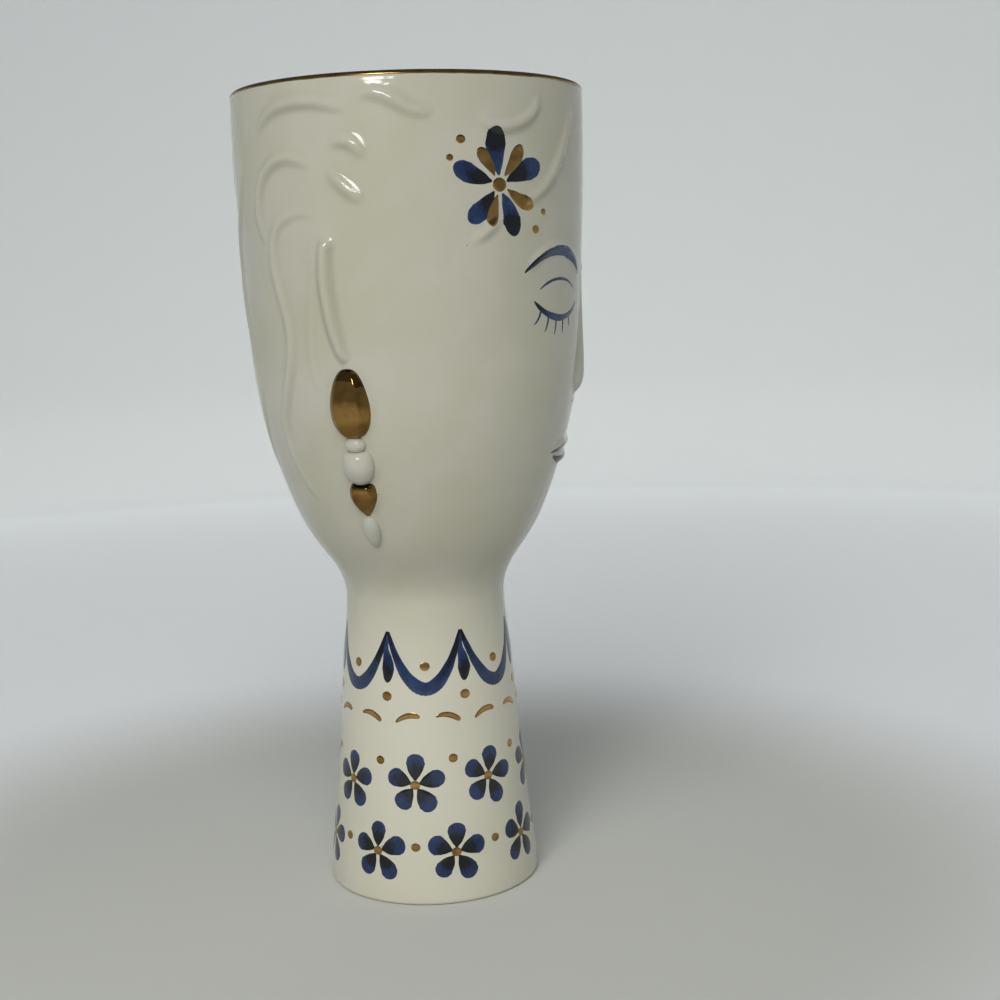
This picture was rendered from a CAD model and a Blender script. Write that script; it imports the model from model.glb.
"""A ceramic face vase: glazed skins over its solids, gilt earrings and lip, and cobalt and gold brushwork."""

from math import atan2, cos, degrees, hypot, log, pi, radians, sin, sqrt
from random import Random

import bmesh
import bpy
import numpy as np
from bpy.props import FloatProperty, FloatVectorProperty, IntProperty, PointerProperty
from mathutils import Matrix, Vector, noise
from mathutils.bvhtree import BVHTree


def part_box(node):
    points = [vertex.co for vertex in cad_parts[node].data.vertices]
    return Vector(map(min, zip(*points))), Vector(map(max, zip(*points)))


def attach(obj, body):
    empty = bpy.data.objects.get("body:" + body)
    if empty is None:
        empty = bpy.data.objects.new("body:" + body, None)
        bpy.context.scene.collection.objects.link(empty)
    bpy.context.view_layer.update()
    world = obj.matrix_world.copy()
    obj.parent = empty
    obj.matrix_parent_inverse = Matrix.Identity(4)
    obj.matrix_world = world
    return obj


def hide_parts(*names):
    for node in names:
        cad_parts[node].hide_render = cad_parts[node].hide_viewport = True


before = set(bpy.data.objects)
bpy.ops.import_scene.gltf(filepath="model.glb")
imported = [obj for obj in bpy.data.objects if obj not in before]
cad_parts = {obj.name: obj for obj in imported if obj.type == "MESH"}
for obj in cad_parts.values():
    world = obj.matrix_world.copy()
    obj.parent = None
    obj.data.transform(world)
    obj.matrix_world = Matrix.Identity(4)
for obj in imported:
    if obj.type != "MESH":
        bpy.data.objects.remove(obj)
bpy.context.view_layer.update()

bl_info = {
    "name": "Ceramic face vase",
    "version": (1, 0, 0),
    "blender": (4, 5, 0),
    "location": "View3D > Sidebar > Face vase",
    "description": "Glazes, gilds and paints a ceramic face vase round its packed solids",
    "category": "Object",
}

MM = 0.001
TOUCH = 0.01 * MM
AXIS = Vector((0, 0, 1))
SIDES = {"right": 1, "left": -1}
BROWS, LIPS = ["brow_right", "brow_left"], ["upper_lip", "lower_lip"]
RELIEF_PAIRS = (
    "crown_wave", "temple_wave", "outer_lock", "long_lock", "side_strand", "upper_curl", "lower_curl",
    "fringe", "forehead_lock", "temple_lock", "back_lock", "ear", "brow",
)
RELIEF_NODES = ["nape_lock", "nose", *LIPS, *[f"{name}_{side}" for name in RELIEF_PAIRS for side in SIDES]]
# What the glaze leaves of a relief: its share of the height, and how much narrower than an arc its crest is
HAIR_FORM = (0.86, 2.2)
RELIEF_FORM = {
    "side_strand": (0.42, 1.8), "back_lock": (0.70, 2.0), "nape": (0.70, 2.0), "ear": (0.95, 1.6),
    "nose": (1.0, 1.0), "brow": (0.9, 1.1), "upper": (0.9, 1.0), "lower": (0.9, 1.0),
}
# How far under its solid's top the ear's fold comes out of the glaze, and over what height it does
EAR_BURIED, EAR_RISE = 4.8 * MM, 3 * MM
# How strongly the glaze pools in the hollows beside the relief, and on its flanks towards the face
HOLLOW_POOL, FLANK_POOL = 0.6, 0.4
# How a bead swells: how far down it is fullest, how pointed its top and its bottom are, and its share of its
# solid's width
BEAD_FORM = {
    "almond": (0.59, 0.27, 0.36, 1.05),
    "spacer": (0.50, 0.36, 0.36, 0.92),
    "pearl": (0.42, 0.24, 0.44, 1.0),
    "cap": (0.30, 0.22, 0.78, 0.94),
    "tip": (0.42, 0.32, 0.45, 1.0),
}
GILT_BEADS = ("almond", "cap")
# Where the ridges between a gilt bead's facets lie, in degrees from its middle towards the back
RIDGES = (-90, -56.25, -33.75, 37.5, 90)
# How flat the facets are, how much of its back a bead keeps, and how far it reaches past its solid's ends
FLATNESS, BACK_SHARE, OVERLAP = 0.75, 0.22, 0.25 * MM
# The share of a gilt bead's height over which its lustre burns out at either end, and how far it does
BURNT_END, BURNT = 0.07, 0.75
# The slot of each finish and its materials
FINISHES = {
    "head": ("ivory_glaze", "transparent glaze, poured"),
    "neck": ("ivory_glaze", "transparent glaze, poured", "bare earthenware"),
    "lip": ("gold_lustre", "gold lustre, banded on the lip"),
    "ceramic bead": ("ivory_glaze", "cream glaze, dipped"),
    "gilt bead": ("gold_lustre", "gold lustre, brushed on the beads"),
    "cobalt": ("cobalt_brushwork", "cobalt, brushed under the glaze"),
    "gold": ("gold_lustre", "gold lustre, brushed on the glaze"),
}
# How loaded the brush is at shares of a stroke's length: it shows blue under 0.55 and pools dark over it
INKS = {
    "line": [(0, 0.30), (0.30, 0.24), (0.62, 0.34), (0.80, 0.60), (1, 0.78)],
    "even": [(0, 0.20), (0.5, 0.36), (1, 0.24)],
    "petal": [(0, 0.95), (0.22, 0.88), (0.44, 0.66), (0.62, 0.44), (1, 0.24)],
    "tipped": [(0, 0.20), (0.30, 0.36), (0.50, 0.62), (0.72, 0.90), (1, 0.80)],
    "swag": [(0, 0.72), (0.16, 0.66), (0.34, 0.42), (0.62, 0.28), (0.84, 0.46), (1, 0.70)],
    "drop": [(0, 0.14), (0.40, 0.26), (0.66, 0.56), (0.88, 0.86), (1, 0.80)],
}
STROKE_LAYERS = ("ink", "along", "across")
# A node that blends two colours has its factor at input 0, its colours at 6 and 7 and its result at output 2
BLEND = {"out": 2, "data_type": "RGBA"}
# A stroke's facets: the fewest along it, the longest of them, and how many lie across it
FEWEST_CUTS, LONGEST_CUT, CUTS_ACROSS = 22, 0.8 * MM, 6
# How far a stroke's end takes to sink into the glaze, how sharply its edge does, how much its width trembles,
# and how much less ink its edges hold
END_RUN, EDGE_POWER, TREMBLE, EDGE_THINNING = 0.7 * MM, 6, 0.09, 0.22


def linear(hex_colour):
    """An sRGB hex colour as the linear colour, with alpha, that a shader takes."""
    channels = [int(hex_colour[place:place + 2], 16) / 255 for place in (1, 3, 5)]
    lit = [c / 12.92 if c <= 0.04045 else ((c + 0.055) / 1.055) ** 2.4 for c in channels]
    return (*lit, 1.0)


def length(name, description, millimetres):
    """A length that the user can set, given in millimetres."""
    return FloatProperty(
        name=name, description=description, default=millimetres * MM, unit="LENGTH", precision=5
    )


def number(name, description, default):
    """A whole number that the user can set."""
    return IntProperty(name=name, description=description, default=default)


def colour(name, description, hex_colour):
    """A colour that the user can set."""
    return FloatVectorProperty(
        name=name, description=description, default=linear(hex_colour), size=4, min=0, max=1, subtype="COLOR"
    )


class FaceVaseSizes(bpy.types.PropertyGroup):
    """Sizes of the vase's skins, gilding and brushwork that the solids don't give."""

    wall: length("Wall", "Thickness of the cast wall", 4.2)
    floor_thickness: length("Floor", "Thickness of the floor of the neck", 6.0)
    floor_cove: length("Floor cove", "Radius between the floor and the wall inside", 3.0)
    foot_rounding: length("Foot rounding", "Radius of the foot's outer edge", 1.4)
    foot_ring_width: length("Foot ring", "Width of the ring that the vase stands on", 6.0)
    foot_recess: length("Foot recess", "Depth of the recess under the floor", 1.6)
    columns: number("Columns", "Facets round the head's skin", 416)
    rows: number("Rows", "Facets up the outside of the head's skin", 200)
    neck_rows: number("Neck rows", "Rings up the outside of the neck's skin", 112)
    melt: number("Glaze melt", "How far the glaze rounds the relief off", 1)
    unevenness: length("Unevenness", "How far the cast wall wanders from true", 0.14)
    skirt: length("Bead skirt", "Height of the slip that gathers round a bead", 0.8)
    gilt_depth: length("Gilding depth", "How far the gilding comes down the lip", 1.5)
    gilt_wander: length("Gilding wander", "How unevenly the gilding's lower edge was banded", 0.28)
    paint_film: length("Cobalt film", "Height of a cobalt stroke", 0.07)
    lustre_film: length("Lustre film", "Height of a gold stroke", 0.12)
    paint_bed: length("Paint bed", "How far a stroke's edge and back lie in the glaze", 0.05)
    swags: number("Swags", "Swags of the garland round the neck", 7)
    blossoms: number("Blossoms", "Blossoms in each row round the foot", 8)


class FaceVaseColours(bpy.types.PropertyGroup):
    """Colours of the vase's glaze, painting and gilding, and of the stage."""

    ivory: colour("Ivory glaze", "Clear glaze over the ivory body", "#B7B4A4")
    ivory_warm: colour("Warm ivory", "Where the glaze lies a little thicker", "#B2AF9B")
    ivory_low: colour("Thin ivory", "Where the glaze drained thin towards the foot", "#CFCCB8")
    ivory_pool: colour("Pooled glaze", "Glaze gathered beside the relief", "#918F7B")
    pearl: colour("Pearl glaze", "Glaze on the ceramic beads", "#B3B1A2")
    speck: colour("Speck", "Iron specks burnt through the glaze", "#6F5C43")
    biscuit: colour("Bare clay", "Unglazed clay of the foot ring", "#C2B49B")
    cobalt_wash: colour("Cobalt wash", "Cobalt where the brush ran dry", "#243C66")
    cobalt: colour("Cobalt", "Cobalt at its usual strength", "#172A4B")
    cobalt_deep: colour("Deep cobalt", "Cobalt where the stroke is thick", "#0C1A35")
    cobalt_pool: colour("Pooled cobalt", "Cobalt where the stroke pooled", "#04080F")
    gold: colour("Gold lustre", "Fired gold lustre", "#AE8B55")
    gold_thin: colour("Thin lustre", "Lustre where the film is thin", "#8F6E3C")
    gold_deep: colour("Deep lustre", "Lustre as it mirrors the room from a bead", "#775A2E")
    gold_burnt: colour("Burnt lustre", "Lustre burnt at its edge", "#1D130C")
    floor: colour("Floor", "Pale studio floor", "#CCCCC4")
    distance: colour("Far floor", "Pale studio floor behind the vase", "#FAFCFB")
    wall: colour("Backdrop", "Pale studio backdrop", "#E2E5E3")


def read(items, name, width, kind=float):
    """An attribute of a mesh's vertices or faces as a table with a row for each."""
    values = np.zeros(len(items) * width, kind)
    items.foreach_get(name, values)
    return values.reshape(-1, width)


def smooth_line(stations, values):
    """A function that runs smoothly through values at stations."""
    stations, values = np.asarray(stations, float), np.asarray(values, float)
    slopes = np.gradient(values, stations, edge_order=min(2, len(stations) - 1))

    def at(place):
        index = np.clip(np.searchsorted(stations, place) - 1, 0, len(stations) - 2)
        span = stations[index + 1] - stations[index]
        share = (place - stations[index]) / span
        rest = 1 - share
        start = values[index] * (1 + 2 * share) + slopes[index] * span * share
        end = values[index + 1] * (1 + 2 * rest) - slopes[index + 1] * span * rest
        return start * rest**2 + end * share**2

    return at


def turned_line(node, facing, low, high, step=3 * MM, nearest_two=0.2 * MM):
    """The radius at each height of a turned wall's outer face, or of its inner one with facing -1."""
    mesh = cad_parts[node].data
    points = read(mesh.vertices, "co", 3)
    normals = read(mesh.polygons, "normal", 3)
    centres = read(mesh.polygons, "center", 3)
    corners = read(mesh.polygons, "vertices", 3, int)
    level = np.hypot(centres[:, 0], centres[:, 1])
    facing_out = facing * (centres[:, :2] * normals[:, :2]).sum(1) / level
    picked = points[np.unique(corners[facing_out > 0.5])]
    picked = picked[(picked[:, 2] > low - TOUCH) & (picked[:, 2] < high + TOUCH)]
    picked = picked[np.argsort(picked[:, 2])]
    wanted = np.linspace(low, high, int((high - low) / step))
    nearest = np.unique(np.abs(picked[None, :, 2] - wanted[:, None]).argmin(1))
    stations = picked[nearest]
    stations = stations[np.append(np.diff(stations[:, 2]) > nearest_two, True)]
    return smooth_line(stations[:, 2], np.hypot(stations[:, 0], stations[:, 1]))


def head_line():
    """The head's outer radius at each height, which the solid's own wall gives."""
    low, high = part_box("head_shell")
    return turned_line("head_shell", 1, low.z, high.z - 0.5 * MM)


def even_heights(line, low, high, count):
    """Heights at even steps along a turned line, ends included."""
    heights = np.linspace(low, high, 2000)
    steps = np.hypot(np.diff(heights), np.diff(line(heights)))
    travelled = np.append(0, np.cumsum(steps))
    return np.interp(np.linspace(0, travelled[-1], count), travelled, heights)


def wall_points(line, heights):
    """Points of a section on a turned line at heights."""
    return [(line(height), height) for height in heights]


def outwards(angle):
    """The level direction away from the axis at an angle, in degrees from the face towards the right ear."""
    return Vector((-sin(radians(angle)), -cos(radians(angle)), 0))


def turn(section, columns, closed):
    """A bmesh turned once round the vase's axis from a section of radii and heights."""
    bm = bmesh.new()
    verts = [bm.verts.new((0, -radius, height)) for radius, height in section]
    ends = verts[1:] + verts[:1] if closed else verts[1:]
    edges = [bm.edges.new(pair) for pair in zip(verts, ends)]
    bmesh.ops.spin(
        bm, geom=verts + edges, cent=(0, 0, 0), axis=AXIS, angle=2 * pi, steps=columns, use_merge=True
    )
    bmesh.ops.remove_doubles(bm, verts=bm.verts[:], dist=0.002 * MM)
    bmesh.ops.recalc_face_normals(bm, faces=bm.faces[:])
    return bm


def arc(centre, radius, start, end, count):
    """Points of a round in the section's plane, from one angle in degrees to another, ends included."""
    turns = np.radians(np.linspace(start, end, count))
    return [(centre[0] + radius * cos(a), centre[1] + radius * sin(a)) for a in turns]


def finish_piece(bm, name, finish, replaces=(), crease=50):
    """The piece of a bmesh: smooth but for its sharp edges, riding on the vase's one body."""
    for edge in bm.edges:
        edge.smooth = len(edge.link_faces) == 2 and edge.calc_face_angle(0) < radians(crease)
    for face in bm.faces:
        face.smooth = True
    mesh = bpy.data.meshes.new(name)
    bm.to_mesh(mesh)
    bm.free()
    slot, *materials = FINISHES[finish]
    for material in materials:
        mesh.materials.append(bpy.data.materials[material])
    piece = bpy.data.objects.new(name, mesh)
    bpy.context.scene.collection.objects.link(piece)
    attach(piece, "root")
    if replaces:
        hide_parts(*replaces)
    return piece


def soften(field, passes):
    """A field over rows and columns with each place averaged with its neighbours, round the vase as well."""
    for _ in range(passes):
        field = (np.roll(field, 1, 1) + 2 * field + np.roll(field, -1, 1)) / 4
        padded = np.pad(field, ((1, 1), (0, 0)), mode="edge")
        field = (padded[:-2] + 2 * field + padded[2:]) / 4
    return field


class Grid:
    """The outside of a turned skin as rows and columns of its vertices."""

    def __init__(self, mesh, line, heights, columns):
        self.points = read(mesh.vertices, "co", 3)
        x, y, z = self.points.T
        column = np.round(np.arctan2(-x, -y) / (2 * pi) * columns).astype(int) % columns
        row = np.abs(heights[None, :] - z[:, None]).argmin(1)
        outside = (np.abs(heights[row] - z) < TOUCH) & (np.abs(np.hypot(x, y) - line(z)) < 10 * TOUCH)
        self.index = np.full((len(heights), columns), -1)
        self.index[row[outside], column[outside]] = np.flatnonzero(outside)
        if (self.index < 0).any():
            raise RuntimeError("the turned skin has rows or columns with no vertex")
        self.angles = 2 * pi * np.arange(columns) / columns
        self.heights = heights
        self.radii = line(heights)
        along = np.stack([np.gradient(self.radii), np.gradient(heights)], 1)
        along /= np.linalg.norm(along, axis=1)[:, None]
        self.out, self.up = along[:, 1], -along[:, 0]

    def place(self, row, column):
        """A vertex's place before it is moved, and the direction out of the wall."""
        turn_x, turn_y = -sin(self.angles[column]), -cos(self.angles[column])
        point = Vector((turn_x * self.radii[row], turn_y * self.radii[row], self.heights[row]))
        return point, Vector((turn_x * self.out[row], turn_y * self.out[row], self.up[row]))

    def relief(self, node, reach=9 * MM, margin=2 * MM):
        """How far a solid stands out of the wall, over the whole grid."""
        field = np.zeros(self.index.shape)
        tree = BVHTree.FromObject(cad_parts[node], bpy.context.evaluated_depsgraph_get())
        low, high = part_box(node)
        rows = np.flatnonzero((self.heights > low.z - margin) & (self.heights < high.z + margin))
        for column in range(len(self.angles)):
            point, normal = self.place(rows[len(rows) // 2], column)
            if any(not low[k] - reach < point[k] < high[k] + reach for k in (0, 1)):
                continue
            for row in rows:
                point, normal = self.place(row, column)
                hit = tree.ray_cast(point + normal * reach, -normal, reach)
                if hit[0] is not None:
                    field[row, column] = reach - hit[3]
        return field

    def push(self, mesh, field):
        """Moves the outside of the skin out of the wall by a field."""
        level = self.radii[:, None] + self.out[:, None] * field
        self.points[self.index, 0] = -np.sin(self.angles) * level
        self.points[self.index, 1] = -np.cos(self.angles) * level
        self.points[self.index, 2] = self.heights[:, None] + self.up[:, None] * field
        mesh.vertices.foreach_set("co", self.points.ravel())
        mesh.update()

    def wander(self, amount, spread=35 * MM):
        """The uneven cast wall over the grid."""
        field = np.zeros(self.index.shape)
        for row, column in np.ndindex(field.shape):
            point = self.place(row, column)[0] / spread
            field[row, column] = noise.noise(point) + 0.4 * noise.noise(point * 2.5)
        return field * amount

    def store(self, mesh, name, field):
        """Keeps a field as an attribute of the mesh, nought off the grid."""
        values = np.zeros(len(self.points))
        values[self.index] = field
        mesh.attributes.new(name, "FLOAT", "POINT").data.foreach_set("value", values)


class Canvas:
    """A finished skin that the brush paints on."""

    def __init__(self, skin, line):
        self.tree = BVHTree.FromObject(bpy.data.objects[skin], bpy.context.evaluated_depsgraph_get())
        self.line = line

    def lay(self, angle, height, clear=0.1):
        """The place on the skin at an angle in degrees and a height, and the direction out of it."""
        way = outwards(angle)
        point, normal, _, _ = self.tree.ray_cast(way * clear + AXIS * height, -way)
        if point is None:
            raise RuntimeError(f"the brush misses the skin at {angle:.1f} degrees, {height:.4f} m")
        return point, normal

    def near(self, angle, height, spots):
        """Places on the skin from spots to the viewer's right and up, in millimetres, round a place."""
        radius = self.line(height * MM)
        return [(angle - degrees(right * MM / radius), (height + up) * MM) for right, up in spots]

    def stroke(self, bm, places, widths, film, bed, inks):
        """Lays a stroke along places, with half widths in millimetres and ink at shares of its length."""
        angles, heights = np.array(places, float).T
        radii = self.line(heights)
        runs = np.hypot(radii[1:] * np.radians(np.diff(angles)), np.diff(heights))
        travelled = np.append(0, np.cumsum(runs))
        angle_at, height_at = smooth_line(travelled, angles), smooth_line(travelled, heights)
        total = travelled[-1]
        probe = 0.01 * total
        shares, halves = np.array(widths, float).T
        inked, load = np.array(inks, float).T
        layers = [bm.verts.layers.float[name] for name in STROKE_LAYERS]
        kept = set(bm.faces)
        cuts = max(FEWEST_CUTS, int(total / LONGEST_CUT))
        made = bmesh.ops.create_grid(bm, x_segments=cuts, y_segments=CUTS_ACROSS, size=1)["verts"]
        for vert in made:
            share = (1 - cos(pi * (vert.co.x + 1) / 2)) / 2
            side = vert.co.y
            run = share * total
            angle, height = angle_at(run), height_at(run)
            radius = self.line(height)
            early, late = max(run - probe, 0), min(run + probe, total)
            level = radius * radians(angle_at(late) - angle_at(early))
            climb = height_at(late) - height_at(early)
            reach = hypot(level, climb)
            half = sqrt(np.interp(share, shares, halves**2)) * MM
            tremble = noise.noise(Vector((run / (4 * MM), 9 * (side > 0), 3 * float(places[0][0]))))
            half *= 1 + TREMBLE * tremble
            across, rise = climb / reach * half * side, -level / reach * half * side
            point, normal = self.lay(angle + degrees(across / radius), height + rise)
            to_end = min(share, 1 - share) * total / END_RUN
            edge = max(abs(side), 1 - min(to_end, 1)) ** EDGE_POWER
            vert.co = point + normal * (film - (film + bed) * edge)
            ink = np.interp(share, inked, load) - EDGE_THINNING * side * side
            for layer, value in zip(layers, (ink, run / MM + 7 * angle, side * half / MM)):
                vert[layer] = value
        faces = [face for face in bm.faces if face not in kept]
        for each in faces + made:
            each.normal_update()
        bmesh.ops.solidify(bm, geom=faces, thickness=2 * bed)


def add(tree, kind, inputs=(), stops=(), out=0, **named):
    """Adds a node and returns an output: numbers and names with a capital are inputs, the rest settings."""
    node, inputs = tree.nodes.new("ShaderNode" + kind), dict(inputs)
    for name, value in named.items():
        if name[0].isupper():
            inputs[name.replace("_", " ")] = value
        else:
            setattr(node, name, value)
    for name, value in inputs.items():
        if isinstance(value, bpy.types.NodeSocket):
            tree.links.new(value, node.inputs[name])
        else:
            node.inputs[name].default_value = value
    for index, (place, shade) in enumerate(stops):
        ramp = node.color_ramp.elements
        stop = ramp[index] if index < len(ramp) else ramp.new(place)
        stop.position, stop.color = place, shade
    return node.outputs[out] if node.outputs else None


def new_material(name):
    """The empty node tree of a new material, and the place on the object."""
    material = bpy.data.materials.new(name)
    material.use_nodes = True
    material.node_tree.nodes.clear()
    return material.node_tree, add(material.node_tree, "TexCoord", out="Object")


def glaze_material(name, colours, thin, warm):
    """Transparent earthenware glaze, poured and gloss fired.

    Clouding a few centimetres wide gives the fired clay's uneven tint, the height the glaze that drained thin
    below the throat, the pool attribute the darker glaze beside the relief, and the bump the slightly rippled
    gloss with its pinholes. Rare iron specks show through.
    """
    tree, place = new_material(name)
    cloud = add(tree, "TexNoise", Vector=place, Scale=1 / (26 * MM), Detail=5.0)
    tint = add(tree, "ValToRGB", stops=[(0.38, thin), (0.64, warm)], Fac=cloud)
    level = add(tree, "SeparateXYZ", Vector=place, out="Z")
    drained = add(tree, "MapRange", Value=level, From_Min=122 * MM, From_Max=84 * MM, To_Max=0.75)
    clouded = add(tree, "Mix", {0: drained, 6: tint, 7: colours.ivory_low}, **BLEND)
    pool = add(tree, "Attribute", out="Fac", attribute_name="pool")
    pooled = add(tree, "MapRange", Value=pool, From_Min=0.02 * MM, From_Max=0.75 * MM, To_Max=0.8)
    gathered = add(tree, "Mix", {0: pooled, 6: clouded, 7: colours.ivory_pool}, **BLEND)
    cells = add(tree, "TexVoronoi", Vector=place, Scale=1 / (7 * MM))
    spot = add(tree, "MapRange", Value=cells, From_Min=0.045, From_Max=0.025)
    chosen = add(tree, "MapRange", Value=cells.node.outputs["Color"], From_Min=0.80, From_Max=0.82)
    speck = add(tree, "Math", {0: spot, 1: chosen}, operation="MULTIPLY")
    specked = add(tree, "Mix", {0: speck, 6: gathered, 7: colours.speck}, **BLEND)
    gloss = add(tree, "MapRange", Value=cloud, From_Min=0.3, From_Max=0.7, To_Min=0.06, To_Max=0.12)
    ripple = add(tree, "TexNoise", Vector=place, Scale=1 / (9 * MM), Detail=2.0)
    pits = add(tree, "TexVoronoi", Vector=place, Scale=1 / (2.6 * MM))
    pit = add(tree, "MapRange", Value=pits, From_Min=0.02, From_Max=0.10, To_Min=0.55, To_Max=1.0)
    height = add(tree, "Math", {0: ripple, 1: pit}, operation="MULTIPLY")
    bump = add(tree, "Bump", Height=height, Strength=0.35, Distance=0.10 * MM)
    surface = add(tree, "BsdfPrincipled", Base_Color=specked, Roughness=gloss, Normal=bump)
    add(tree, "OutputMaterial", Surface=surface)


def cobalt_material(name, colours):
    """Cobalt brushed under the gloss glaze.

    The ramp goes from the thin wash of a dry brush to the near-black pool of a loaded one. Streaks run along
    each stroke as the hairs left them, and the ink attribute says how loaded the brush was.
    """
    tree, place = new_material(name)
    ink, along, across = (add(tree, "Attribute", out="Fac", attribute_name=layer) for layer in STROKE_LAYERS)
    slow = add(tree, "Math", {0: along, 1: 0.22}, operation="MULTIPLY")
    grain = add(tree, "CombineXYZ", X=slow, Y=across, Z=ink)
    streaks = add(tree, "TexNoise", Vector=grain, Scale=1.6, Detail=4.0)
    puddle = add(tree, "TexNoise", Vector=place, Scale=1 / (5 * MM), Detail=2.0)
    both = add(tree, "Math", {0: streaks, 1: puddle}, operation="ADD")
    spread = add(tree, "MapRange", Value=both, From_Min=0.7, From_Max=1.3, To_Min=-0.20, To_Max=0.20)
    load = add(tree, "Math", {0: ink, 1: spread}, operation="ADD")
    stops = [(0.02, colours.cobalt_wash), (0.34, colours.cobalt), (0.52, colours.cobalt_deep),
             (0.58, colours.cobalt_pool)]
    shade = add(tree, "ValToRGB", stops=stops, Fac=load)
    ripple = add(tree, "TexNoise", Vector=place, Scale=1 / (3 * MM), Detail=2.0)
    bump = add(tree, "Bump", Height=ripple, Strength=0.3, Distance=0.08 * MM)
    surface = add(tree, "BsdfPrincipled", Base_Color=shade, Roughness=0.09, Normal=bump)
    add(tree, "OutputMaterial", Surface=surface)


def lustre_material(name, colours, thick, thin, rough):
    """Liquid gold brushed over the glaze and fired on.

    The film is brown where it is thin and burnt dark where it ends, which the bare attribute says, and it
    keeps the brush's faint streaks in its roughness.
    """
    tree, place = new_material(name)
    film = add(tree, "TexNoise", Vector=place, Scale=1 / (6 * MM), Detail=4.0)
    shade = add(tree, "ValToRGB", stops=[(0.36, thin), (0.58, thick)], Fac=film)
    bare = add(tree, "Attribute", out="Fac", attribute_name="bare")
    ragged = add(tree, "TexNoise", Vector=place, Scale=1 / (1.3 * MM), Detail=3.0)
    edge = add(tree, "Math", {0: bare, 1: ragged}, operation="ADD")
    burnt = add(tree, "MapRange", Value=edge, From_Min=0.92, From_Max=1.02)
    gilt = add(tree, "Mix", {0: burnt, 6: shade, 7: colours.gold_burnt}, **BLEND)
    gloss = add(tree, "MapRange", Value=film, From_Min=0.3, From_Max=0.7, To_Min=rough + 0.04, To_Max=rough)
    bump = add(tree, "Bump", Height=ragged, Strength=0.25, Distance=0.05 * MM)
    surface = add(tree, "BsdfPrincipled", Base_Color=gilt, Metallic=1.0, Roughness=gloss, Normal=bump)
    add(tree, "OutputMaterial", Surface=surface)


def biscuit_material(name, colours):
    """Bare fired earthenware of the foot ring, wiped clean of glaze: matt, sandy and a little stained.

    Its grains of sand are drawn a few times coarser than real ones, so that they show.
    """
    tree, place = new_material(name)
    sand = add(tree, "TexNoise", Vector=place, Scale=1 / (0.8 * MM), Detail=4.0)
    stain = add(tree, "TexNoise", Vector=place, Scale=1 / (14 * MM), Detail=2.0)
    shade = add(tree, "ValToRGB", stops=[(0.35, colours.biscuit), (0.70, colours.ivory_pool)], Fac=stain)
    bump = add(tree, "Bump", Height=sand, Strength=0.5, Distance=0.2 * MM)
    surface = add(tree, "BsdfPrincipled", Base_Color=shade, Roughness=0.85, Normal=bump)
    add(tree, "OutputMaterial", Surface=surface)


def floor_material(name, colours):
    """Pale studio paper: the floor is brighter further out, and the backdrop is a shade darker again."""
    tree, place = new_material(name)
    away = add(tree, "VectorMath", {0: place}, out="Value", operation="LENGTH")
    tone = colours.floor
    for near, far, next_tone in ((0.16, 0.34, colours.distance), (1.05, 1.24, colours.wall)):
        share = add(
            tree, "MapRange", Value=away, From_Min=near, From_Max=far, interpolation_type="SMOOTHSTEP"
        )
        tone = add(tree, "Mix", {0: share, 6: tone, 7: next_tone}, **BLEND)
    surface = add(tree, "BsdfPrincipled", Base_Color=tone, Roughness=0.9)
    add(tree, "OutputMaterial", Surface=surface)


class FACEVASE_OT_materials(bpy.types.Operator):
    """Mixes the glazes, the cobalt, the gold lustre and the bare clay"""

    bl_idname = "facevase.materials"
    bl_label = "Materials"

    def execute(self, context):
        colours = context.scene.face_vase_colours
        glaze_material("transparent glaze, poured", colours, colours.ivory, colours.ivory_warm)
        glaze_material("cream glaze, dipped", colours, colours.pearl, colours.ivory)
        cobalt_material("cobalt, brushed under the glaze", colours)
        for place, thick, thin, rough in (
            ("banded on the lip", colours.gold, colours.gold_thin, 0.18),
            ("brushed on the beads", colours.gold_thin, colours.gold_deep, 0.03),
            ("brushed on the glaze", colours.gold, colours.gold_thin, 0.16),
        ):
            lustre_material(f"gold lustre, {place}", colours, thick, thin, rough)
        biscuit_material("bare earthenware", colours)
        return {"FINISHED"}


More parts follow.
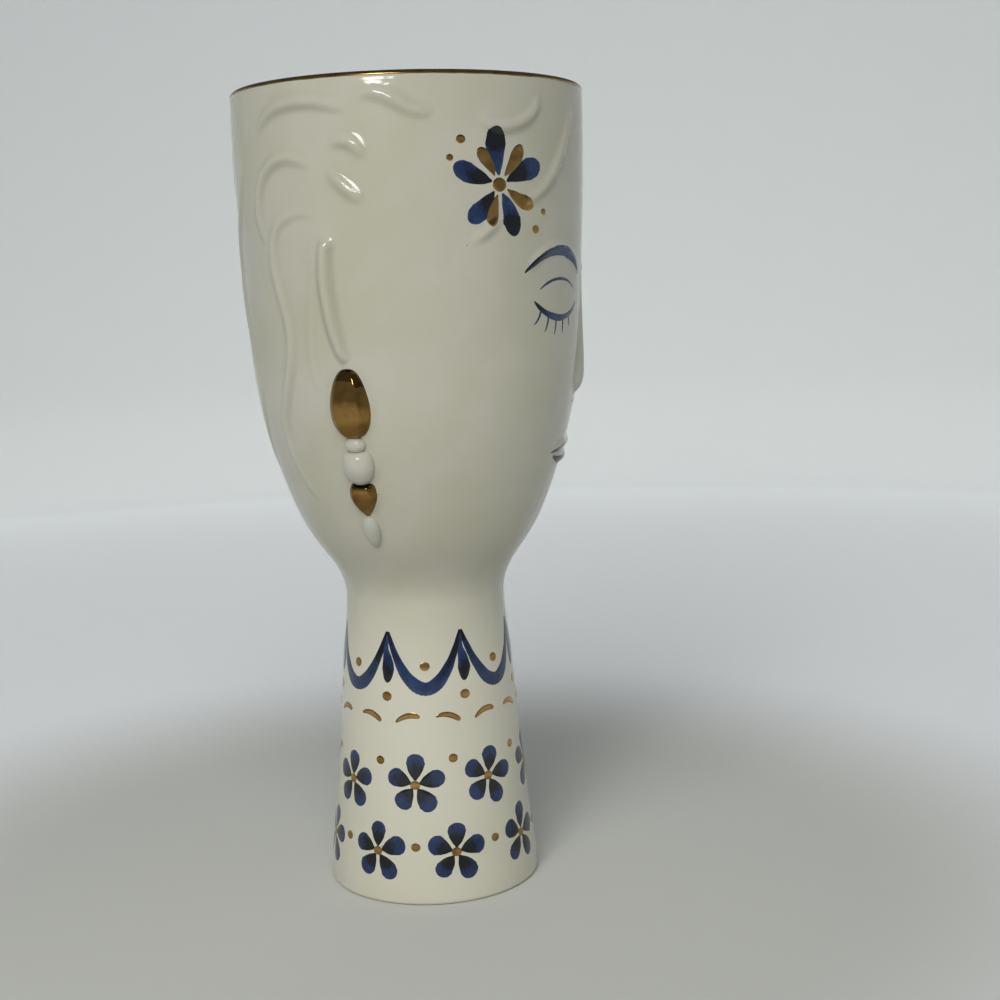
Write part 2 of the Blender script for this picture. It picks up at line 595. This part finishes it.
class FACEVASE_OT_head(bpy.types.Operator):
    """Casts the head's skin, melts the hair, ears, brows, nose and lips into it and beds the beads in slip"""

    bl_idname = "facevase.head"
    bl_label = "Head"

    def execute(self, context):
        sizes = context.scene.face_vase_sizes
        low, crown = (corner.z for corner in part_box("head_shell"))
        half = sizes.wall / 2
        lip = crown - half
        outer, inner = turned_line("head_shell", 1, low, lip), turned_line("head_shell", -1, low, lip)
        heights = even_heights(outer, low, lip, sizes.rows + 1)
        section = wall_points(outer, heights)
        section += arc((outer(lip) - half, lip), half, 0, 180, 10)[1:-1]
        section += wall_points(inner, even_heights(inner, low, lip, 18)[::-1])
        skin = finish_piece(turn(section, sizes.columns, True), "glazed_head", "head")
        grid = Grid(skin.data, outer, heights, sizes.columns)
        relief, hair, beds = (np.zeros(grid.index.shape) for _ in range(3))
        for node in RELIEF_NODES:
            height, sharpness = RELIEF_FORM.get(node.rsplit("_", 1)[0], HAIR_FORM)
            field = grid.relief(node)
            field = height * field.max() * (field / field.max()) ** sharpness
            if node.startswith("ear"):
                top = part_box(node)[1].z - EAR_BURIED
                field *= np.clip((top - heights) / EAR_RISE, 0, 1)[:, None]
            else:
                hair = np.maximum(hair, field)
            relief = np.maximum(relief, field)
        for bead in BEAD_FORM:
            for side in SIDES:
                beds = np.maximum(beds, grid.relief(f"earring_{bead}_{side}") > 0)
        # The slip round the beads spreads over four cells; the relief lies one row higher than its rays
        slip = soften(beds * sizes.skirt, 4)
        relief, hair = (
            np.maximum(soften(np.roll(each, 1, 0), sizes.melt), slip) for each in (relief, hair)
        )
        above = np.roll(relief, -1, 0)
        on_the_right = np.arange(sizes.columns) < sizes.columns / 2
        behind = np.where(on_the_right, np.roll(relief, -1, 1), np.roll(relief, 1, 1))
        pool = np.maximum(above - relief, 0) + HOLLOW_POOL * np.maximum(soften(hair, 5) - hair, 0)
        pool += FLANK_POOL * np.maximum(behind - relief, 0)
        # Under the lip the wall runs true over 8 mm and the relief fades over 2, so the gilding lies on it
        still = np.clip((lip - heights) / (8 * MM), 0, 1)[:, None]
        grid.push(skin.data, relief * np.minimum(still * 4, 1) + grid.wander(sizes.unevenness) * still)
        grid.store(skin.data, "pool", pool)
        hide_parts("head_shell", *[node for node in RELIEF_NODES if node not in BROWS + LIPS])
        return {"FINISHED"}


class FACEVASE_OT_neck(bpy.types.Operator):
    """Casts the neck's skin with its floor, foot ring and recess, and leaves the ring's clay bare"""

    bl_idname = "facevase.neck"
    bl_label = "Neck"

    def execute(self, context):
        sizes = context.scene.face_vase_sizes
        foot, seam = (corner.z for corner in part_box("neck_shell"))
        rounding, floor = sizes.foot_rounding, sizes.floor_thickness
        round_top, cove_top = foot + rounding, floor + sizes.floor_cove
        outer = turned_line("neck_shell", 1, round_top, seam)
        inner = turned_line("neck_shell", -1, cove_top, seam)
        edge = outer(round_top)
        ring = edge - rounding - sizes.foot_ring_width
        cove = inner(cove_top) - sizes.floor_cove
        heights = even_heights(outer, round_top, seam, sizes.neck_rows)
        recess = foot + sizes.foot_recess
        section = [(0, recess), (ring - sizes.foot_recess, recess), (ring, foot)]
        section += arc((edge - rounding, round_top), rounding, -90, 0, 7)[:-1]
        section += wall_points(outer, heights)
        section += wall_points(inner, even_heights(inner, cove_top, seam, 24)[::-1])
        section += arc((cove, cove_top), sizes.floor_cove, 0, -90, 6)[1:]
        section += [(cove / 2, floor), (0, floor)]
        columns = sizes.columns // 2
        bm = turn(section, columns, False)
        for face in bm.faces:
            middle = face.calc_center_median()
            bearing = middle.z < 0.2 * MM and middle.xy.length > ring - sizes.foot_recess
            face.material_index = int(bearing)
        skin = finish_piece(bm, "glazed_neck", "neck", ["neck_shell"])
        grid = Grid(skin.data, outer, heights, columns)
        still = np.clip((heights - foot - rounding) / (6 * MM), 0, 1)[:, None]
        grid.push(skin.data, grid.wander(sizes.unevenness) * still)
        return {"FINISHED"}


class FACEVASE_OT_gilded_lip(bpy.types.Operator):
    """Bands the crown of the lip with gold lustre, its lower edges a little uneven"""

    bl_idname = "facevase.gilded_lip"
    bl_label = "Gilded lip"

    def execute(self, context):
        sizes = context.scene.face_vase_sizes
        half = sizes.wall / 2
        crown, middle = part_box("head_shell")[1].z - half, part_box("head_shell")[1].x - half
        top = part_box("rim_gilding")[1].z - crown
        start = degrees(np.arcsin((top - sizes.gilt_depth) / top))
        outer = arc((middle, crown), top, start, 180 - start, 15)
        under = arc((middle, crown), half - 0.06 * MM, 180 - start, start, 15)
        thin = (half + 0.02 * MM) / top
        first, last = (
            (middle + (radius - middle) * thin, crown + (height - crown) * thin)
            for radius, height in (outer[0], outer[-1])
        )
        bm = turn([first, *outer[1:-1], last, *under[1:-1]], sizes.columns // 2, True)
        for vert in bm.verts:
            way = vert.co.xy.normalized()
            out = Vector((vert.co.xy.length - middle, vert.co.z - crown))
            lean = atan2(out.x, out.y)
            side = 1 if lean > 0 else -1
            spot, edge = Vector((way.x, way.y, 0)), Vector((0, 0, 3 * side))
            waver = noise.noise(spot * 5 + edge) + 0.5 * noise.noise(spot * 17 + edge)
            lean += side * waver * sizes.gilt_wander / top * (lean / radians(90 - start)) ** 2
            level = middle + out.length * sin(lean)
            vert.co = Vector((way.x * level, way.y * level, crown + out.length * cos(lean)))
        finish_piece(bm, "gilded_lip", "lip", ["rim_gilding"])
        return {"FINISHED"}


class FACEVASE_OT_beads(bpy.types.Operator):
    """Threads the drop earrings: faceted gilt almonds, spacers, pearls, gilt caps and pointed tips"""

    bl_idname = "facevase.beads"
    bl_label = "Earrings"

    def execute(self, context):
        line = head_line()
        for bead in BEAD_FORM:
            for side, sign in SIDES.items():
                self.make_bead(bead, side, sign, line)
        return {"FINISHED"}

    def make_bead(self, bead, side, sign, line):
        """One bead on its side of the head, on the space that its solid holds."""
        node = f"earring_{bead}_{side}"
        points = read(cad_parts[node].data.vertices, "co", 3)
        x, y, z = points.T
        middle = points.mean(0)
        angle = degrees(atan2(-middle[0], -middle[1]))
        turns = np.degrees(np.arctan2(-x, -y)) - angle
        fullest, above, below, share_wide = BEAD_FORM[bead]
        half = (np.radians(np.abs(turns)) * line(z)).max() * share_wide
        slope = (line(middle[2] + MM) - line(middle[2] - MM)) / (2 * MM)
        lean = 1 / sqrt(1 + slope**2)
        rise = ((np.hypot(x, y) - line(z)) * lean).max()
        top, bottom = z.max() + OVERLAP, z.min() - OVERLAP
        gilt = bead in GILT_BEADS
        bm = bmesh.new()
        bare = bm.verts.layers.float.new("bare")
        columns, rows = (96, 64) if gilt else (56, 36)
        bmesh.ops.create_uvsphere(bm, u_segments=columns, v_segments=rows, radius=1)
        for vert in bm.verts:
            down = min(max((1 - vert.co.z) / 2, 0.0), 1.0)
            turn_round = atan2(vert.co.y, vert.co.x)
            point = above if down < fullest else below
            swell = max(sin(pi * down ** (log(0.5) / log(fullest))), 0.0) ** point
            if gilt:
                swell *= self.facet(sign * degrees(turn_round - pi / 2))
            height = top + (bottom - top) * down
            radius = line(height)
            across, proud = cos(turn_round) * half * swell, sin(turn_round) * rise * swell
            if proud < 0:
                proud *= BACK_SHARE
            turned = angle + degrees(across / radius)
            normal = Vector((*(outwards(turned).xy * lean), -slope * lean))
            vert[bare] = max(0.0, 1 - min(down, 1 - down) / BURNT_END) * BURNT
            vert.co = outwards(turned) * radius + AXIS * height + normal * proud
        bmesh.ops.recalc_face_normals(bm, faces=bm.faces[:])
        finish_piece(bm, f"{bead}_bead_{side}", "gilt bead" if gilt else "ceramic bead", [node], crease=80)

    def facet(self, off):
        """The share of its round that a faceted bead keeps at an angle in degrees off its middle."""
        for early, late in zip(RIDGES, RIDGES[1:]):
            if early <= off <= late:
                chord = cos(radians(late - early) / 2) / cos(radians(off - (early + late) / 2))
                return 1 - FLATNESS * (1 - chord)
        return 1.0


def paint(name, canvas, strokes, finish, replaces=()):
    """Paints strokes, each its places, half widths and kind of ink, as one piece of cobalt or gold."""
    sizes = bpy.context.scene.face_vase_sizes
    film = sizes.lustre_film if finish == "gold" else sizes.paint_film
    bm = bmesh.new()
    for layer in STROKE_LAYERS:
        bm.verts.layers.float.new(layer)
    for places, widths, ink in strokes:
        canvas.stroke(bm, places, widths, film, sizes.paint_bed, INKS[ink])
    finish_piece(bm, name, finish, replaces, crease=70)


def dot(canvas, angle, height, size):
    """A round touch of the brush at an angle in degrees and a height in millimetres."""
    places = canvas.near(angle, height, [(-size, 0), (0, 0), (size, 0)])
    round_off = [(0, 0.18), (0.04, 0.40), (0.15, 0.70), (0.32, 0.94), (0.5, 1), (0.68, 0.94), (0.85, 0.70),
                 (0.96, 0.40), (1, 0.18)]
    return places, [(share, size * half) for share, half in round_off], "even"


def petal(canvas, centre, way, start, size, half, ink="petal", bend=0.0):
    """A petal: a press of the brush outwards from a centre, in a way in degrees from the viewer's right."""
    c, s = cos(radians(way)), sin(radians(way))
    spots = []
    for share in (0, 0.35, 0.7, 1):
        run, sway = start + share * size, bend * size * sin(pi * share)
        spots.append((run * c - sway * s, run * s + sway * c))
    widths = [(0, 0.14), (0.10, 0.26 * half), (0.36, 0.74 * half), (0.64, half), (0.84, 0.84 * half),
              (0.95, 0.48 * half), (1, 0.14)]
    return canvas.near(*centre, spots), widths, ink


def drawn(points, sign=1, level=0.0):
    """Places on a side of the face from angles and from heights in millimetres over a level."""
    return [(sign * angle, (level + height) * MM) for angle, height in points]


class FACEVASE_OT_face(bpy.types.Operator):
    """Paints the brows, the closed lids with their lashes, the nostrils and the lips in cobalt"""

    bl_idname = "facevase.face"
    bl_label = "Painted face"

    def execute(self, context):
        canvas = Canvas("glazed_head", head_line())
        level = (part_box("brow_right")[0].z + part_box("brow_right")[1].z) / 2 / MM - 0.5
        part = (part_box("upper_lip")[0].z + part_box("lower_lip")[1].z) / 2 / MM
        arch = [(8.0, -4.6), (13, 0.0), (18, 2.6), (24, 3.9), (31, 3.0), (37, 0.2), (42.5, -4.0)]
        lid = [(10.4, 221.6), (14.5, 218.4), (19, 216.6), (24, 216), (29.5, 216.9), (34, 218.8),
               (38.2, 222.2)]
        fold = [(13.0, 226.0), (18, 228.8), (24, 229.8), (30, 229.0), (35.5, 226.2)]
        marks = [(lid, [(0, 0.3), (0.2, 0.95), (0.6, 1.55), (0.9, 1.05), (1, 0.2)], "line"),
                 (fold, [(0, 0.2), (0.4, 0.68), (0.8, 0.6), (1, 0.2)], "even")]
        lashes = ((17.5, 216.2, -0.7, 3.6), (22, 215, 0.1, 4.6), (26.5, 215.2, 1, 5.2), (31, 216.4, 2, 5.2),
                  (35, 218.6, 3.2, 4.6))
        for angle, height, lean, size in lashes:
            lash = [(angle, height), (angle + 0.4 * lean, height - 0.6 * size), (angle + lean, height - size)]
            marks.append((lash, [(0, 0.65), (0.5, 0.50), (1, 0.18)], "even"))
        marks.append(([(2.2, 183.4), (3.6, 184.8), (5.4, 184.2)], [(0, 0.2), (0.4, 0.7), (1, 0.2)], "even"))
        brows, eyes = [], []
        for sign in SIDES.values():
            widths = [(0, 0.7), (0.06, 1.5), (0.35, 2.4), (0.7, 1.7), (1, 0.2)]
            brows.append((drawn(arch, sign, level), widths, "line"))
            eyes += [(drawn(mark, sign), halves, ink) for mark, halves, ink in marks]
        upper = [(18.6, 0.9), (12, 1.5), (5.5, 2.5), (0, 2.1), (-5.5, 2.5), (-12, 1.5), (-18.6, 0.9)]
        lower = [(15.6, -0.7), (10, -2.1), (4, -2.8), (0, -2.8), (-4, -2.8), (-10, -2.1), (-15.6, -0.7)]
        full = [(0, 0.14), (0.14, 0.8), (0.34, 1.9), (0.5, 1.5), (0.66, 1.9), (0.86, 0.8), (1, 0.14)]
        round_off = [(0, 0.14), (0.2, 1.4), (0.4, 2.2), (0.5, 2.3), (0.6, 2.2), (0.8, 1.4), (1, 0.14)]
        lips = [(drawn(upper, level=part), full, "swag"), (drawn(lower, level=part), round_off, "swag")]
        paint("painted_brows", canvas, brows, "cobalt", BROWS)
        paint("painted_eyes", canvas, eyes, "cobalt")
        paint("painted_lips", canvas, lips, "cobalt", LIPS)
        return {"FINISHED"}


class FACEVASE_OT_temple_flowers(bpy.types.Operator):
    """Paints a flower with gold inner petals on each temple"""

    bl_idname = "facevase.temple_flowers"
    bl_label = "Temple flowers"

    def execute(self, context):
        canvas = Canvas("glazed_head", head_line())
        blue, gold = [], []
        outer = ((92, 16.5, 4.8, "tipped"), (158, 15, 4.3, "petal"), (226, 14, 4, "petal"),
                 (290, 15.5, 4.3, "tipped"), (20, 16.5, 4.6, "petal"))
        inner = ((56, 13, 3, "even"), (124, 11, 2.7, "even"), (258, 11, 2.6, "even"), (334, 13, 2.9, "even"))
        for sign in SIDES.values():
            centre = (sign * 52, 262)
            for strokes, petals, start, bend in ((blue, outer, 3.0, 0.05), (gold, inner, 3.4, -0.06)):
                for way, size, half, ink in petals:
                    facing = way if sign > 0 else 180 - way
                    strokes.append(petal(canvas, centre, facing, start, size, half, ink, bend * sign))
            gold.append(dot(canvas, *centre, 2.7))
            for right, up, size in ((-14, 15, 1.7), (-18, 9, 1.3), (16, -15, 1.7), (20, -9, 1.3)):
                angle, height = canvas.near(*centre, [(right * sign, up)])[0]
                gold.append(dot(canvas, angle, height / MM, size))
        paint("temple_flowers_blue", canvas, blue, "cobalt")
        paint("temple_flowers_gold", canvas, gold, "gold")
        return {"FINISHED"}


class FACEVASE_OT_collar(bpy.types.Operator):
    """Paints the neck as a collar: a garland of swags and drops over two rows of blossoms"""

    bl_idname = "facevase.collar"
    bl_label = "Painted collar"

    def execute(self, context):
        sizes = context.scene.face_vase_sizes
        line = turned_line("neck_shell", 1, sizes.foot_rounding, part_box("neck_shell")[1].z)
        canvas, chance = Canvas("glazed_neck", line), Random(7)
        self.garland(canvas, chance, sizes.swags)
        self.flowers(canvas, chance, sizes.blossoms)
        return {"FINISHED"}

    def garland(self, canvas, chance, count, high=102, dip=84, dashes=70.0):
        """Swags that hang between drops, with gold dots between them and a row of gold dashes under them."""
        blue, gold = [], []
        step = 360 / count
        full = [(0, 0.8), (0.2, 1.7), (0.42, 3.0), (0.58, 3.0), (0.8, 1.7), (1, 0.8)]
        slim = [(0, 0.4), (0.15, 0.85), (0.5, 1.25), (0.85, 1.15), (1, 0.5)]
        for index in range(count):
            start = step * (index + 0.1)
            swag = [(start + step * s, (high - dip * s * (1 - s)) * MM) for s in np.linspace(0, 1, 25)]
            blue.append((swag, full, "swag"))
            drop = drawn([(start, 101.5), (start + 0.9, 96), (start - 0.7, 90), (start, 83)])
            blue.append((drop, [(0, 0.5), (0.35, 1.3), (0.72, 3.1), (0.92, 1.9), (1, 0.2)], "drop"))
            gold.append(dot(canvas, start, 78.0, 2.0))
            gold.append(dot(canvas, start + 0.5 * step, 89.5 + chance.uniform(-0.5, 0.5), 1.9))
            for share, tilt in ((0.25, -0.22), (0.75, 0.22)):
                at, lean = start + step * share + chance.uniform(-1, 1), tilt + chance.uniform(-0.08, 0.08)
                arch = [(x, lean * x - 0.075 * x * x + 1.0) for x in (-4.6, -2.3, 0, 2.3, 4.6)]
                gold.append((canvas.near(at, dashes, arch), slim, "even"))
        paint("garland_blue", canvas, blue, "cobalt")
        paint("garland_gold", canvas, gold, "gold")

    def flowers(self, canvas, chance, count, rows=(45.0, 20.0)):
        """Two rows of five-petalled blossoms with gold hearts, and a gold dot between each two."""
        blue, gold = [], []
        step = 360 / count
        for row, height in enumerate(rows):
            for index in range(count):
                angle = step * (index + 0.5 * row) + chance.uniform(-1.5, 1.5)
                centre = (angle, height + chance.uniform(-0.8, 0.8))
                lean = chance.uniform(-16, 16)
                for way in range(90, 450, 72):
                    size, half = 9.8 * chance.uniform(0.92, 1.06), 4.3 * chance.uniform(0.92, 1.05)
                    blue.append(petal(canvas, centre, way + lean, 1.6, size, half))
                gold.append(dot(canvas, *centre, 1.9))
                between = height + chance.uniform(-1.5, 1.5) + 9 - 8 * row
                gold.append(dot(canvas, angle + 0.5 * step, between, 1.8))
        paint("blossoms_blue", canvas, blue, "cobalt")
        paint("blossoms_gold", canvas, gold, "gold")


class FACEVASE_OT_stage(bpy.types.Operator):
    """Sets the pale floor and backdrop, the soft lights and the camera at the photograph's viewing angle"""

    bl_idname = "facevase.stage"
    bl_label = "Stage"

    def execute(self, context):
        scene = context.scene
        self.sweep(scene)
        for light in (
            ("key_window", "SUN", 1.56, (-0.77, 0.03, 0.71), 0.8),
            ("room_fill", "SUN", 0.05, (-0.45, -0.85, 0.50), 1.2),
            ("back_fill", "SUN", 0.28, (0.88, 0.20, 0.42), 1.2),
            ("wide_pane", "AREA", 1.25, (-0.86, 0.145, 0.335), 0.16),
            ("narrow_pane", "AREA", 0.22, (-0.86, -0.01, 0.335), 0.03),
        ):
            self.light(scene, *light)
        world = bpy.data.worlds.new("soft room")
        world.use_nodes = True
        sky = world.node_tree.nodes["Background"].inputs
        sky["Color"].default_value, sky["Strength"].default_value = (0.86, 0.95, 1.10, 1.0), 0.12
        scene.world = world
        lens = bpy.data.cameras.new("camera")
        lens.sensor_width, lens.lens, lens.clip_start = 36.0, 55.92, 0.01
        camera = bpy.data.objects.new("camera", lens)
        heading, pitch, roll = (
            Matrix.Rotation(radians(turned), 4, axis)
            for turned, axis in ((-82.904, "Z"), (90 - 8.081, "X"), (-1.733, "Z"))
        )
        camera.matrix_world = Matrix.Translation((-0.58413, -0.10300, 0.23017)) @ heading @ pitch @ roll
        scene.collection.objects.link(camera)
        scene.camera = camera
        scene.view_settings.view_transform = "Standard"
        return {"FINISHED"}

    def sweep(self, scene, under=-0.05 * MM, cove=0.12, wall=1.25, high=0.58):
        """The paper: a floor just under the foot that runs up through a cove into a wall all round."""
        floor = [(radius, under) for radius in (0, 0.4, 1.05)]
        section = floor + arc((wall - cove, cove), cove, -90, 0, 12) + [(wall, high)]
        bm = turn(section, 96, False)
        mesh = bpy.data.meshes.new("paper sweep")
        bm.to_mesh(mesh)
        bm.free()
        mesh.shade_smooth()
        floor_material("pale paper", scene.face_vase_colours)
        mesh.materials.append(bpy.data.materials["pale paper"])
        sweep = bpy.data.objects.new("paper_sweep", mesh)
        scene.collection.objects.link(sweep)
        sweep.visible_shadow = False

    def light(self, scene, name, kind, strength, towards, width, away=0.75, tall=0.15):
        """A soft distant lamp as wide as an angle, or a pane of the window that shows in the gloss."""
        data = bpy.data.lights.new(name, kind)
        data.energy = strength
        light = bpy.data.objects.new(name, data)
        if kind == "SUN":
            data.angle = width
            light.visible_glossy = False
        else:
            data.shape, data.size, data.size_y = "RECTANGLE", width, tall
            light.location = Vector((0, 0, 0.20)) + Vector(towards).normalized() * away
            light.visible_camera = False
        light.rotation_mode = "QUATERNION"
        light.rotation_quaternion = Vector(towards).to_track_quat("Z", "Y")
        scene.collection.objects.link(light)


OPERATORS = (
    FACEVASE_OT_materials, FACEVASE_OT_head, FACEVASE_OT_neck, FACEVASE_OT_gilded_lip, FACEVASE_OT_beads,
    FACEVASE_OT_face, FACEVASE_OT_temple_flowers, FACEVASE_OT_collar, FACEVASE_OT_stage,
)


class FACEVASE_PT_panel(bpy.types.Panel):
    """Lists the vase's sizes, colours and pieces"""

    bl_idname = "FACEVASE_PT_panel"
    bl_label = "Ceramic face vase"
    bl_space_type = "VIEW_3D"
    bl_region_type = "UI"
    bl_category = "Face vase"

    def draw(self, context):
        for group in (context.scene.face_vase_sizes, context.scene.face_vase_colours):
            box = self.layout.box()
            for name in group.__annotations__:
                box.prop(group, name)
        for operator in OPERATORS:
            self.layout.operator(operator.bl_idname)


CLASSES = (FaceVaseSizes, FaceVaseColours, *OPERATORS, FACEVASE_PT_panel)


def register():
    for each in CLASSES:
        bpy.utils.register_class(each)
    bpy.types.Scene.face_vase_sizes = PointerProperty(type=FaceVaseSizes)
    bpy.types.Scene.face_vase_colours = PointerProperty(type=FaceVaseColours)


def unregister():
    del bpy.types.Scene.face_vase_colours
    del bpy.types.Scene.face_vase_sizes
    for each in reversed(CLASSES):
        bpy.utils.unregister_class(each)


def main():
    register()
    for operator in OPERATORS:
        family, name = operator.bl_idname.split(".")
        getattr(getattr(bpy.ops, family), name)()


if __name__ == "__main__":
    main()
